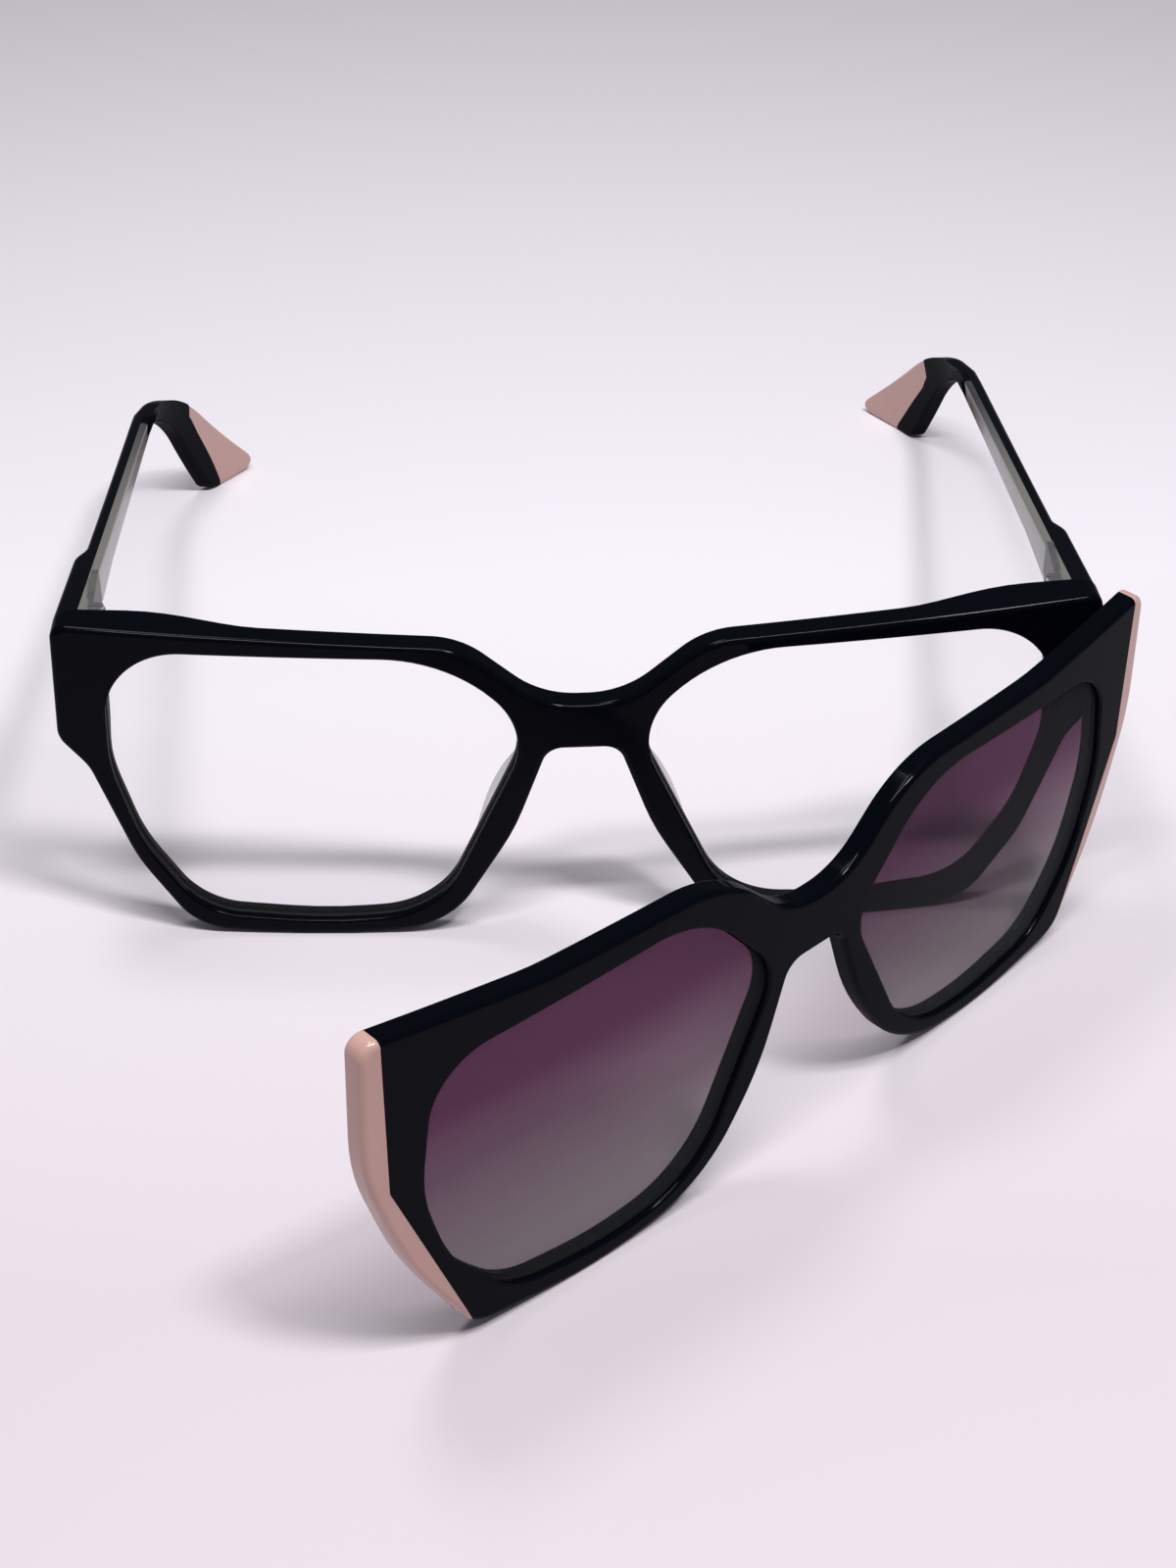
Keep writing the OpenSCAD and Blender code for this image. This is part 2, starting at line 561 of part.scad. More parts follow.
// The clip, modelled as it is worn, then turned about the pivot line to where it stands
module clip_place() {
    stand() translate([pivot_x, pivot_y, 0]) rotate([0, 0, clip_turn]) translate([-pivot_x, -pivot_y, 0])
        translate([0, -clip_t - seat_gap, 0]) children();
}

// Everything outside the right seam
module seam_side(grow = 0) {
    side = corner_half + past;
    top = brow_out + past;
    rotate([90, 0, 0]) translate([0, 0, -20]) linear_extrude(30)
        polygon([[seam_x + grow, top], [seam_x + grow, seam_turn_z],
            [seam_foot[0] + grow, seam_foot[1]], [side, seam_foot[1]], [side, top]]);
}

module clip_frame() {
    color("#15151b") clip_place() difference() {
        front(clip_half, clip_open, clip_r, clip_t, clip_lens_d);
        for (side = [-1, 1]) on_side(side) {
            magnet(clip_magnet_y, magnet_t, glue);
            seam_side();
        }
    }
}

module clip_corner(side) {
    color("#e0b5a8") clip_place() intersection() {
        front(clip_half, clip_open, clip_r, clip_t, clip_lens_d);
        on_side(side) seam_side(glue);
    }
}

module clip_lens(side) {
    color("#6d4a68", 0.8) clip_place() on_side(side) lens(clip_open, clip_r, clip_lens_d);
}

module front_magnet(side) {
    color("#c4c6ca") stand() on_side(side) magnet(front_magnet_y, magnet_long);
}

module clip_magnet(side) {
    color("#c4c6ca") clip_place() on_side(side) magnet(clip_magnet_y, magnet_t);
}

front_frame();
demo_lens(-1);  // demo_lens_left
demo_lens(1);  // demo_lens_right
nose_pad(-1);  // nose_pad_left
nose_pad(1);  // nose_pad_right
front_hinge(-1);  // front_hinge_left
front_hinge(1);  // front_hinge_right
hinge_screw(-1);  // hinge_screw_left
hinge_screw(1);  // hinge_screw_right
temple_hinge(-1);  // temple_hinge_left
temple_hinge(1);  // temple_hinge_right
temple(-1);  // temple_left
temple(1);  // temple_right
core_wire(-1);  // core_wire_left
core_wire(1);  // core_wire_right
temple_lining(-1);  // temple_lining_left
temple_lining(1);  // temple_lining_right
tip_facing(-1);  // tip_facing_left
tip_facing(1);  // tip_facing_right
tip_inlay(-1);  // tip_inlay_left
tip_inlay(1);  // tip_inlay_right
clip_frame();
clip_corner(-1);  // clip_corner_left
clip_corner(1);  // clip_corner_right
clip_lens(-1);  // clip_lens_left
clip_lens(1);  // clip_lens_right
front_magnet(-1);  // front_magnet_left
front_magnet(1);  // front_magnet_right
clip_magnet(-1);  // clip_magnet_left
clip_magnet(1);  // clip_magnet_right
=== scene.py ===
import json
import math
import bpy
import bmesh
from mathutils import Matrix, Vector


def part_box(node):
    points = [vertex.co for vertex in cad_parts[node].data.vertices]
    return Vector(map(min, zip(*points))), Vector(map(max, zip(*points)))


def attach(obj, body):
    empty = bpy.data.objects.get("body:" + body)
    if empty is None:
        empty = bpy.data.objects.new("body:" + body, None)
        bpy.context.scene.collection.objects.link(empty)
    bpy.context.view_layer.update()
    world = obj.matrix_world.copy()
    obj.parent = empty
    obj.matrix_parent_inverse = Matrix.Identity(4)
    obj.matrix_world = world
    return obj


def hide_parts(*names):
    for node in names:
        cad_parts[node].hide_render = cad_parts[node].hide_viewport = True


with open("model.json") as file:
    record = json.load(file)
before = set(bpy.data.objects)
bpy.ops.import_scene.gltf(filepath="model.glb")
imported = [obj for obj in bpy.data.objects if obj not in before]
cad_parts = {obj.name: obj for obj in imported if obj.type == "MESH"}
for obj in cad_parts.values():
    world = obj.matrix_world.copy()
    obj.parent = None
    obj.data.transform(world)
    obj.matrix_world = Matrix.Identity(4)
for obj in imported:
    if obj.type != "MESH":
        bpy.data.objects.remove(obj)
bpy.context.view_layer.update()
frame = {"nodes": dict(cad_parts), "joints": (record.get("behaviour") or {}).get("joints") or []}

# The photographer's place
# A phone held about 36 cm off, a little to the left of the middle and looking down 35
# degrees, with the near rims and the clip in the lower half of an upright picture.

# The bridge is foremost and in the middle, so the front's box tells where it stands.
front_low, front_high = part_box("front_frame")
front_middle = Vector(((front_low.x + front_high.x) / 2, front_low.y, 0))


def placed(x, y, z):
    """A point in millimetres from the table under the frame's bridge."""
    return front_middle + Vector((x, y, z)) / 1000


camera_data = bpy.data.cameras.new("phone")
camera_data.sensor_fit = "AUTO"
camera_data.sensor_width = 36
camera_data.lens = 56.63
camera_data.clip_start, camera_data.clip_end = 0.01, 10
camera = bpy.data.objects.new("phone", camera_data)
bpy.context.scene.collection.objects.link(camera)
yaw, down, tilt = math.radians(-3.263), math.radians(35.336), math.radians(-0.061)
ahead = Matrix.Rotation(yaw, 3, "Z") @ Vector((0, math.cos(down), -math.sin(down)))
level = Matrix.Rotation(yaw, 3, "Z") @ Vector((1, 0, 0))
upward = level.cross(ahead)
picture_right = math.cos(tilt) * level + math.sin(tilt) * upward
picture_up = -math.sin(tilt) * level + math.cos(tilt) * upward
camera.matrix_world = Matrix.Translation(placed(-15.44, -281.14, 225.78)) @ Matrix(
    (picture_right, picture_up, -ahead)).transposed().to_4x4()
bpy.context.scene.camera = camera


# Table and light
# A sheet of pale, faintly lilac paper. A small lamp in front on the right, a strip in
# front, a lamp behind on the left and a weak panel overhead cast the picture's shadows.
class Signal:
    """A number, colour or direction that varies over a surface, for use in sums."""

    def __init__(self, finish, socket):
        self.finish, self.socket = finish, socket

    def maths(self, operation, first, second):
        return self.finish.node("ShaderNodeMath", {"operation": operation}, "Value",
                                {0: first, 1: second})

    def __add__(self, other):
        return self.maths("ADD", self, other)

    def __radd__(self, other):
        return self.maths("ADD", other, self)

    def __mul__(self, other):
        return self.maths("MULTIPLY", self, other)

    def __rmul__(self, other):
        return self.maths("MULTIPLY", other, self)

    def __pow__(self, other):
        return self.maths("POWER", self, other)

    def __rpow__(self, other):
        return self.maths("POWER", other, self)

    def between(self, low, high):
        """0 below low, 1 above high and a straight rise between them."""
        return self.finish.node("ShaderNodeMapRange", {"clamp": True}, "Result",
                                {"Value": self, "From Min": low, "From Max": high})


class Finish:
    """The material of one or more pieces."""

    def __init__(self, name):
        self.material = bpy.data.materials.new(name)
        self.material.use_nodes = True
        self.tree = self.material.node_tree
        self.shader = self.tree.nodes["Principled BSDF"]
        self.body = Signal(self, self.shader.outputs[0])

    def node(self, kind, settings=None, out=0, sockets=None):
        """Adds a node with its settings and sockets, and gives one of its outputs."""
        made = self.tree.nodes.new(kind)
        for key, value in (settings or {}).items():
            setattr(made, key, value)
        for key, value in (sockets or {}).items():
            self.feed(made.inputs[key], value)
        return Signal(self, made.outputs[out])

    def feed(self, socket, value):
        if isinstance(value, Signal):
            self.tree.links.new(value.socket, socket)
        elif socket.type == "RGBA":
            socket.default_value = (*value, 1)
        else:
            socket.default_value = value

    def set(self, **sockets):
        for key, value in sockets.items():
            self.feed(self.shader.inputs[key.replace("_", " ")], value)

    def show(self, shader):
        """Makes a mix of shaders the finish, in place of the plain body."""
        self.feed(self.tree.nodes["Material Output"].inputs["Surface"], shader)

    def layered(self, share, under, over):
        """Lets a share of the shader over show, and the rest of the one under it."""
        return self.node("ShaderNodeMixShader", None, 0, {0: share, 1: under, 2: over})

    def mix(self, mask, low, high):
        """The colour low where the mask is 0, and high where it is 1."""
        return self.node("ShaderNodeMix", {"data_type": "RGBA"}, 2, {0: mask, 6: low, 7: high})

    def place(self):
        return self.node("ShaderNodeTexCoord", None, "Object")

    def reading(self, axis):
        """Where a point lies along X, Y or Z, in metres."""
        return self.node("ShaderNodeSeparateXYZ", None, axis, {"Vector": self.place()})

    def aslant(self, blend=0.5):
        """0 where the surface faces the eye, 1 where it is seen edge on."""
        return self.node("ShaderNodeLayerWeight", None, "Facing", {"Blend": blend})

    def noise(self, scale, detail=3.0, roughness=0.5, stretch=None):
        where = self.place()
        if stretch:
            where = self.node("ShaderNodeVectorMath", {"operation": "MULTIPLY"}, "Vector",
                              {0: where, 1: stretch})
        return self.node("ShaderNodeTexNoise", {"noise_dimensions": "3D"}, "Fac",
                         {"Vector": where, "Scale": scale, "Detail": detail,
                          "Roughness": roughness})

    def bump(self, height, strength, distance):
        return self.node("ShaderNodeBump", None, "Normal",
                         {"Height": height, "Strength": strength, "Distance": distance})


table_reach = 3.0
table_mesh = bpy.data.meshes.new("table")
table_mesh.from_pydata([(-table_reach, -table_reach, 0), (table_reach, -table_reach, 0),
                        (table_reach, table_reach, 0), (-table_reach, table_reach, 0)],
                       [], [(0, 1, 2, 3)])
table = bpy.data.objects.new("table", table_mesh)
bpy.context.scene.collection.objects.link(table)
paper = Finish("pale table")
# The paper's colour is painted darker towards the camera and lighter far off: painted shade and
# painted light that even out how the lamps, which hang in front, light the table near and far.
away = paper.reading("Y")
paper_with_painted_shade = paper.mix(away.between(-0.11, 0.06), (0.63, 0.575, 0.62), (0.825, 0.795, 0.845))
paper.set(Base_Color=paper.mix(away.between(0.09, 0.24), paper_with_painted_shade, (0.85, 0.81, 0.855)),
          Roughness=0.55, Specular_IOR_Level=0.25)
table_mesh.materials.append(paper.material)

room = bpy.data.worlds.new("studio")
bpy.context.scene.world = room
room.use_nodes = True
room_light = room.node_tree.nodes["Background"]
room_light.inputs["Color"].default_value = (0.88, 0.88, 1.0, 1)
room_light.inputs["Strength"].default_value = 0.2

for name, where, size, watts, colour in (
        ("right lamp", (225, -250, 650), (0.1, 0.07), 2.0, (1.0, 0.985, 0.99)),
        ("front strip", (10, -200, 650), (0.4, 0.04), 2.8, (1.0, 0.985, 0.99)),
        ("left lamp", (-160, 130, 650), (0.17, 0.15), 1.0, (1.0, 0.985, 0.97)),
        ("top panel", (0, 0, 700), (0.5, 0.4), 0.25, (1.0, 0.985, 1.0))):
    data = bpy.data.lights.new(name, "AREA")
    data.shape, data.size, data.size_y = "RECTANGLE", *size
    data.energy, data.color = watts, colour
    lamp = bpy.data.objects.new(name, data)
    lamp.location = placed(*where)
    lamp.rotation_mode = "QUATERNION"
    lamp.rotation_quaternion = (placed(0, 0, 0) - placed(*where)).to_track_quat("-Z", "Y")
    bpy.context.scene.collection.objects.link(lamp)
bpy.context.scene.view_settings.view_transform = "Standard"


# Frame front
# Cut from one sheet of black cellulose acetate, bent to a large radius, its edges
# rounded on the polishing drum and its two openings grooved for the lenses.
class Corner:
    """One corner of an outline: where it lies and how far it is rounded."""

    def __init__(self, across, up, rounding):
        self.at, self.rounding = Vector((across, up)), rounding


def turned(v, angle):
    return Vector((v.x * math.cos(angle) - v.y * math.sin(angle),
                   v.x * math.sin(angle) + v.y * math.cos(angle)))


def arc_between(before, here, after, inset):
    """The rounded corner of an outline as points, each with its outward direction."""
    degrees_a_step = 4.0
    a, b = (here.at - before.at).normalized(), (after.at - here.at).normalized()
    left_a, left_b = Vector((-a.y, a.x)), Vector((-b.y, b.x))
    turn = math.atan2(a.x * b.y - a.y * b.x, a.dot(b))
    side = math.copysign(1, turn)
    r = max(0.05, here.rounding - side * inset)
    meet = here.at + inset * (left_a + left_b) / (1 + a.dot(b))
    start = meet - a * r * math.tan(abs(turn) / 2)
    middle = start + left_a * side * r
    steps = max(1, math.ceil(math.degrees(abs(turn)) / degrees_a_step))
    points = []
    for k in range(steps + 1):
        along = turned(a, turn * k / steps)
        points.append((middle + turned(start - middle, turn * k / steps),
                       Vector((along.y, -along.x))))
    return points


def rounded_outline(corners, inset):
    """Points of a closed outline drawn in by inset, each with its outward direction."""
    longest_step = 3.0
    following = corners[1:] + corners[:1]
    arcs = [arc_between(*three, inset) for three in zip(corners[-1:] + corners, corners, following)]
    outline = []
    for arc, next_arc, here, after in zip(arcs, arcs[1:] + arcs[:1], corners, following):
        outline += arc
        steps = math.ceil((after.at - here.at).length / longest_step)
        (last, outward), (first, _) = arc[-1], next_arc[0]
        outline += [(last.lerp(first, k / steps), outward) for k in range(1, steps)]
    return outline


def half_outline(corners, inset):
    """Right half of a front's outline, from the bridge's underside to its top."""
    past_middle = 0.01
    both_halves = corners + [Corner(-c.at.x, c.at.y, c.rounding) for c in reversed(corners)]
    whole = rounded_outline(both_halves, inset)
    right = [p for p in whole if p[0].x > past_middle]
    beside_bridge = [p for p in whole[len(whole) * 3 // 4:] if p[0].x > past_middle]
    return ([(Vector((0, corners[0].at.y + inset)), Vector((0, -1)))]
            + beside_bridge + right[:len(right) - len(beside_bridge)]
            + [(Vector((0, corners[-1].at.y - inset)), Vector((0, 1)))])


def smooth(share):
    """An eased rise from 0 to 1."""
    g = min(1, max(0, share))
    return g * g * (3 - 2 * g)


class Sheet:
    """An acetate front: right half of its edge, one opening, bend and thickness.

    Its end pieces thicken towards the back where end_depth says how far they reach.
    """

    edge_steps = 5
    thicker_from, thicker_over = 44, 18
    thicker_above, thicker_rise = 29, 6

    def __init__(self, corners, opening, bend, thickness, lens_depth, end_depth=None):
        self.corners = [Corner(*c) for c in corners]
        self.opening = [Corner(*c) for c in opening]
        self.bend, self.thickness = bend, thickness
        self.lens_depth, self.end_depth = lens_depth, end_depth

    def face(self, x, depth):
        """How far back the sheet lies at x, a given depth below its front face."""
        r = self.bend - depth
        return self.bend - math.sqrt(r * r - x * x)

    def outward(self, x, depth):
        """Direction that the front faces at x."""
        r = self.bend - depth
        return Vector((x / r, -math.sqrt(1 - (x / r) ** 2), 0))

    def back(self, x, z):
        """How far back the sheet reaches, which is further at thick end pieces."""
        bent = self.face(x, self.thickness)
        if self.end_depth is None:
            return bent
        share = (smooth((abs(x) - self.thicker_from) / self.thicker_over)
                 * smooth((z - self.thicker_above) / self.thicker_rise))
        return bent + (self.end_depth - bent) * share

    def behind(self, x, z):
        """Direction that the back faces at a point."""
        d = 0.2
        slope_x = (self.back(x + d, z) - self.back(x - d, z)) / (2 * d)
        slope_z = (self.back(x, z + d) - self.back(x, z - d)) / (2 * d)
        return Vector((-slope_x, 1, -slope_z)).normalized()

    def rounded_edges(self, front, back, side):
        """The front and the back edge as rows of (drawn in by, depth, lean, on the back)."""
        leans = [math.pi / 2 * k / self.edge_steps for k in range(self.edge_steps + 1)]
        return ([(side * front * (1 - math.sin(lean)), front * (1 - math.cos(lean)), lean, False)
                 for lean in leans],
                [(side * back * (1 - math.cos(lean)),
                  self.thickness - back * (1 - math.sin(lean)), math.pi / 2 - lean, True)
                 for lean in leans])


frame_sheet = Sheet(
    ((4.9, 32, 3), (9.8, 18, 40), (19.4, 1.5, 13), (37, -0.49, 110), (56.3, 0.9, 9),
     (63.7, 13, 25), (68.9, 28.9, 8), (72.7, 33.6, 3.5), (71.7, 51.9, 2.3),
     (16.6, 48.7, 12), (5.6, 39.2, 13)),
    ((21, 3.6, 14), (37, 2.2, 70), (55, 3.6, 11), (62.6, 15.9, 25), (66, 29, 25),
     (65, 48.1, 11), (18.8, 46.9, 22), (7, 35, 11)),
    bend=600, thickness=3.8, lens_depth=1.3, end_depth=9.3)
lens_thickness, lens_play, groove_depth = 1.2, 0.06, 0.6
edge_front, edge_back, opening_front, opening_back = 0.9, 0.5, 0.5, 0.3


def band(a, b):
    """Faces that join two rings of points."""
    return [(a[i], a[(i + 1) % len(a)], b[(i + 1) % len(a)], b[i]) for i in range(len(a))]


def sheet_skin(sheet, place):
    """The whole skin of a front as points, faces and the directions it looks in."""
    points, faces, facing = [], [], []

    def ring(outline, depth, lean, on_back, side=1, mirror=1):
        """Adds a row round an outline: lean 0 looks off the sheet, and 90 degrees off its edge."""
        first = len(points)
        for at, out in outline:
            x, z = mirror * at.x, at.y
            if on_back:
                y, off_sheet = sheet.back(x, z) + depth - sheet.thickness, sheet.behind(x, z)
            else:
                y, off_sheet = sheet.face(x, depth), sheet.outward(x, depth)
            off_edge = side * Vector((mirror * out.x, 0, out.y))
            points.append(place(Vector((x, y, z))))
            looks = math.sin(lean) * off_edge + math.cos(lean) * off_sheet
            facing.append(place(looks.normalized(), True))
        return list(range(first, len(points)))

    def closed(half):
        return half + [(Vector((-p.x, p.y)), Vector((-o.x, o.y))) for p, o in half[-2:0:-1]]

    front_edge, back_edge = sheet.rounded_edges(edge_front, edge_back, 1)
    outer = [ring(closed(half_outline(sheet.corners, drawn_in)), *row)
             for drawn_in, *row in front_edge + back_edge]
    for a, b in zip(outer, outer[1:]):
        faces.extend(band(a, b))

    # The wall of an opening with its groove, in strips that meet at crisp edges.
    front_edge, back_edge = sheet.rounded_edges(opening_front, opening_back, -1)
    groove_near = sheet.lens_depth - lens_play
    groove_far = sheet.lens_depth + lens_thickness + lens_play
    forward, sideways, backward = 0, math.pi / 2, math.pi
    strips = [front_edge + [(0, groove_near, sideways, False)],
              [(drawn_in, groove_near, backward, False) for drawn_in in (0, -groove_depth)],
              [(-groove_depth, depth, sideways, False) for depth in (groove_near, groove_far)],
              [(drawn_in, groove_far, forward, False) for drawn_in in (-groove_depth, 0)],
              [(0, groove_far, sideways, False)] + back_edge]
    rims = {}
    for mirror in (1, -1):
        rings = [[ring(rounded_outline(sheet.opening, drawn_in), *row, side=-1, mirror=mirror)
                  for drawn_in, *row in strip] for strip in strips]
        for strip in rings:
            for a, b in zip(strip, strip[1:]):
                faces.extend(band(a, b))
        rims[mirror] = rings[0][0], rings[-1][-1]

    # The two flat faces: each outer edge is joined to its opening, both walked by bearing.
    hub, bridge_foot = Vector((36.5, 33)), sheet.corners[0].at.y

    def bearing(p):
        a = math.atan2(p.y - hub.y, p.x - hub.x) - math.atan2(bridge_foot - hub.y, -hub.x)
        return a + 2 * math.pi if a <= 0 else a

    half = half_outline(sheet.corners, 0)
    edge_way = [0] + [bearing(p) for p, out in half[1:]] + [2 * math.pi]
    rim_way = [bearing(p) for p, out in rounded_outline(sheet.opening, 0)]
    first = rim_way.index(min(rim_way))
    rim_way = rim_way[first:] + rim_way[:first] + [min(rim_way) + 2 * math.pi]
    for mirror in (1, -1):
        for whole, opening in zip((outer[0], outer[-1]), rims[mirror]):
            edge = [whole[mirror * i] for i in range(len(half))]
            rim = opening[first:] + opening[:first]
            k = l = 0
            while k < len(edge) or l < len(rim):
                edge_at, rim_at = edge[k % len(edge)], rim[l % len(rim)]
                if l == len(rim) or (k < len(edge) and edge_way[k + 1] <= rim_way[l + 1]):
                    k += 1
                    faces.append((edge_at, edge[k % len(edge)], rim_at))
                else:
                    l += 1
                    faces.append((rim[l % len(rim)], rim_at, edge_at))
    return points, faces, facing


def turns_out(points, facing, face):
    """Whether a face looks the way that its corners' directions do."""
    area = Vector((0, 0, 0))
    for a, b in zip(face, face[1:] + face[:1]):
        area += points[a].cross(points[b])
    return area.dot(sum((facing[i] for i in face), Vector((0, 0, 0)))) > 0


def shaped(name, finish, body, node, slot, points, faces, facing=None):
    """A piece that rides on a body and stands for a node of the solid model."""
    if facing:
        faces = [face if turns_out(points, facing, face) else face[::-1] for face in faces]
    mesh = bpy.data.meshes.new(name)
    mesh.from_pydata([tuple(p) for p in points], [], faces)
    mesh.validate()
    made = bpy.data.objects.new(name, mesh)
    bpy.context.scene.collection.objects.link(made)
    mesh.materials.append(finish.material)
    mesh.shade_smooth()
    if facing:
        mesh.normals_split_custom_set_from_vertices([tuple(n) for n in facing])
    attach(made, body)
    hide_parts(node)
    return made


def on_frame(v, direction=False):
    return v if direction else placed(*v)


black = Finish("polished black acetate")
blue_black = black.mix(black.noise(35), (0.0008, 0.0012, 0.0028), (0.0014, 0.002, 0.0042))
black.set(Base_Color=blue_black, Roughness=0.05 + black.noise(90, 2) * 0.05, IOR=1.45,
          Normal=black.bump(black.noise(28, 1), 0.06, 0.0004))
depth_of_black = black.node("ShaderNodeBsdfDiffuse", None, 0, {"Color": (0.0012, 0.0017, 0.0036)})
black.show(black.layered(0.86, black.body, depth_of_black))
shaped("front_acetate", black, "frame", "front_frame", "black_acetate",
       *sheet_skin(frame_sheet, on_frame))


# Demonstration lenses
# Thin clear plastic blanks sprung into the groove, flat enough to vanish but for a
# faint gleam where they are seen aslant.
def lens_skin(sheet, mirror, place):
    """A lens as points, faces and directions: two bent faces and a square rim."""
    points, faces, facing = [], [], []
    outline = rounded_outline(sheet.opening, lens_play - groove_depth)
    middle, shares_from_rim = Vector((36.5, 27)), (1, 0.75, 0.5, 0.25, 0.02)

    def ring(share, depth, looks):
        """Adds a ring that looks forward with looks 1, back with -1 and off the rim with 0."""
        first = len(points)
        for at, out in outline:
            p = middle.lerp(at, share)
            x = mirror * p.x
            n = looks * sheet.outward(x, depth) if looks else Vector((mirror * out.x, 0, out.y))
            points.append(place(Vector((x, sheet.face(x, depth), p.y))))
            facing.append(place(n.normalized(), True))
        return list(range(first, len(points)))

    near, far = sheet.lens_depth, sheet.lens_depth + lens_thickness
    for depth, looks in ((near, 1), (far, -1)):
        rings = [ring(share, depth, looks) for share in shares_from_rim]
        for a, b in zip(rings, rings[1:]):
            faces.extend(band(a, b))
        faces.append(tuple(rings[-1]))
    faces.extend(band(ring(1, near, 0), ring(1, far, 0)))
    return points, faces, facing


clear = Finish("clear lens")
clear.set(Base_Color=(0.92, 0.94, 0.96), Roughness=0.03, Alpha=0.012 + clear.aslant() ** 5 * 0.5)
for hand, mirror in (("left", -1), ("right", 1)):
    shaped("clear_lens_" + hand, clear, "frame", "demo_lens_" + hand, "clear_lens",
           *lens_skin(frame_sheet, mirror, on_frame))


# Nose pads
# Blanks of clear pale acetate glued behind the nose side of each rim and filed to a
# soft crest, so that daylight shows through their edges.
pad_top, pad_foot = Vector((7.6, 30.5)), Vector((15.6, 10.5))
pad_height, pad_width, pad_lean, glue = 4.4, 2.7, 0.8, 0.03
blunt_end, least_width, crest_fullness = 0.06, 0.45, 0.8
pad_steps, crest_steps, crisp_edge = 24, 14, math.radians(40)


def lofted(name, finish, body, node, slot, rings):
    """A piece skinned over rings of as many points each, with a flat face at both ends."""
    n = len(rings[0])
    numbers = [list(range(j * n, j * n + n)) for j in range(len(rings))]
    faces = [face for a, b in zip(numbers, numbers[1:]) for face in band(a, b)]
    faces += [tuple(reversed(numbers[0])), tuple(numbers[-1])]
    made = shaped(name, finish, body, node, slot, [p for ring in rings for p in ring], faces)
    work = bmesh.new()
    work.from_mesh(made.data)
    bmesh.ops.recalc_face_normals(work, faces=work.faces)
    work.to_mesh(made.data)
    work.free()
    made.data.shade_smooth()
    made.data.set_sharp_from_angle(angle=crisp_edge)


def pad_ring(share, mirror):
    """One slice across a pad, at a share of the way from its top to its foot."""
    along = (pad_foot - pad_top).normalized()
    across = Vector((-along.y, along.x))
    bulge = math.sin(math.pi * (blunt_end + (1 - 2 * blunt_end) * share))
    half_width = pad_width * (least_width + (1 - least_width) * bulge) / 2
    ring = []
    for k in range(crest_steps + 1):
        turn = math.pi * k / crest_steps
        rise = math.sin(turn) ** crest_fullness * pad_height * bulge
        aside = -math.cos(turn) * half_width + pad_lean * rise / pad_height
        p = pad_top.lerp(pad_foot, share) + across * aside
        back = frame_sheet.face(p.x, frame_sheet.thickness)
        ring.append(placed(mirror * p.x, back + glue + rise, p.y))
    return ring


pad = Finish("clear pale acetate")
pad.set(Base_Color=(0.62, 0.62, 0.63), Roughness=0.16 + pad.noise(60, 2) * 0.08,
        Alpha=0.42 + pad.aslant(0.4) * 0.35)
for hand, mirror in (("left", -1), ("right", 1)):
    lofted("nose_pad_" + hand + "_acetate", pad, "frame", "nose_pad_" + hand, "clear_acetate",
           [pad_ring(k / pad_steps, mirror) for k in range(pad_steps + 1)])


# Hinges, screws, core wires and magnets
# Nickel silver hinges of five barrels, let into the end piece and the temple, each on a
# slotted steel screw, with steel wires in the temples and small plated magnets.
hinge_metal = Finish("nickel silver")
brushed = hinge_metal.noise(900, 2, 0.6, stretch=(1, 1, 0.05))
hinge_metal.set(Base_Color=hinge_metal.mix(brushed, (0.42, 0.42, 0.43), (0.58, 0.58, 0.58)),
                Metallic=1.0, Roughness=0.28 + brushed * 0.2)
worn_metal = Finish("worn nickel silver")
tarnish = worn_metal.noise(500, 3, 0.6)
worn_metal.set(Base_Color=worn_metal.mix(tarnish, (0.16, 0.16, 0.155), (0.25, 0.25, 0.24)),
               Metallic=1.0, Roughness=0.5 + tarnish * 0.15)
steel = Finish("screw steel")
steel.set(Base_Color=steel.mix(steel.noise(600, 2), (0.5, 0.5, 0.52), (0.66, 0.66, 0.68)),
          Metallic=1.0, Roughness=0.2 + steel.noise(400, 2) * 0.12)
for part, finish in (("front_hinge_", hinge_metal), ("temple_hinge_", worn_metal),
                     ("hinge_screw_", steel), ("core_wire_", steel),
                     ("front_magnet_", steel), ("clip_magnet_", steel)):
    for hand in ("left", "right"):
        mesh = frame["nodes"][part + hand].data
        mesh.materials.clear()
        mesh.materials.append(finish.material)


# Temples
# Black acetate laminated to a grey see-through inner layer, milled down by a step
# behind the thick front part, then bent down over the ear and curved inwards.
joint_y, temple_x, temple_top, temple_low = 9.5, 71.9, 50.3, 43.4
taper_end, top_drop, height_at_taper, height_at_bend = 36, 0.218, 4.25, 2.4
bend_above, bend_below = {"left": 121.7, "right": 137.4}, {"left": 117.2, "right": 131.3}
radius_above, radius_below = 22, 19
toe, heel = {"left": 138.4, "right": 155.3}, {"left": 127.9, "right": 141.3}
toe_height, toe_rounding, heel_rounding = 0.3, 4.2, 2.6
curl_from, tip_curl = {"left": 104.9, "right": 119}, {"left": 16.8, "right": 16}
splay = {"left": math.radians(1.4), "right": math.radians(4.5)}
outer_layer, inner_layer, glue_line = 3.1, 1.2, 0.03
step_in, step_from, step_over = 1.3, 25, 6
outer_rounding, inner_rounding, widest_rounding = 0.8, 0.5, 0.45
thinned_outside, thinned_inside, lining_thinned = 0.15, 0.12, 0.18
corner_steps, bend_steps = 6, 20
taper_stops = [0, 1, 3, 6, 10, 14, 18, 22, 24, 25, *(25 + 0.6 * k for k in range(1, 11)), 32, 34]
slim_stops = [k / 12 for k in range(12)]
tip_stops = [k / 24 for k in range(1, 22)] + [0.89, 0.9, 0.91, 0.92, 0.935, 0.95, 0.965, 0.975,
                                              0.985, 0.992, 0.997, 1]


